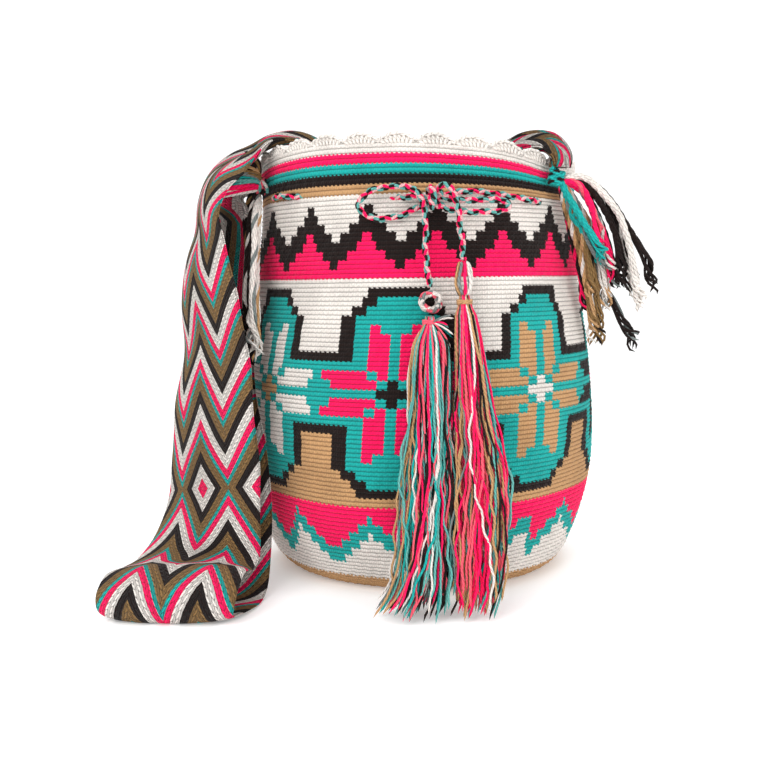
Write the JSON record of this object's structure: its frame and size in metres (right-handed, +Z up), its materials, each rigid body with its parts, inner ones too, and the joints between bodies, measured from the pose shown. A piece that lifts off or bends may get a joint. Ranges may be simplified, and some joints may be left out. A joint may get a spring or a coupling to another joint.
{
  "type": "wayuu mochila bag",
  "caption": "Crocheted cylindrical bucket bag with an open mouth, a laced drawstring tied in a bow with yarn tassels, and a braided shoulder strap hanging down one side.",
  "frame": {"origin": "middle of the round base, on the surface the bag stands on", "axes": "+Z up, -Y towards the front where the drawstring is tied, -X towards the side the shoulder strap hangs on"},
  "size_m": [0.3686, 0.3029, 0.3251],
  "materials": {
    "crocheted_cotton": "matt cotton worked in tight single crochet, in white, pink, teal, dark brown and tan",
    "braided_cotton": "matt finger-braided cotton band in chevrons of dark brown, white, pink, teal and olive tan",
    "plaited_cord": "matt four-strand plaited cotton cord in pink, teal, white and dark brown",
    "loose_yarn": "matt loose plied cotton yarns in all the bag's colours",
    "binding_yarn": "matt tan cotton yarn wound tight"
  },
  "bodies": {
    "root": {"bag_body": "crocheted_cotton", "shoulder_strap": "braided_cotton", "drawstring": "plaited_cord", "strap_knot_right": "loose_yarn", "strap_knot_left": "loose_yarn", "strap_fringe_right": "loose_yarn", "strap_fringe_left": "loose_yarn", "tassel_ring_left": "plaited_cord", "tassel_loops_right": "loose_yarn", "tassel_left": "loose_yarn", "tassel_right": "loose_yarn", "tassel_tie_left": "binding_yarn", "tassel_tie_right": "binding_yarn"}
  },
  "joints": []
}
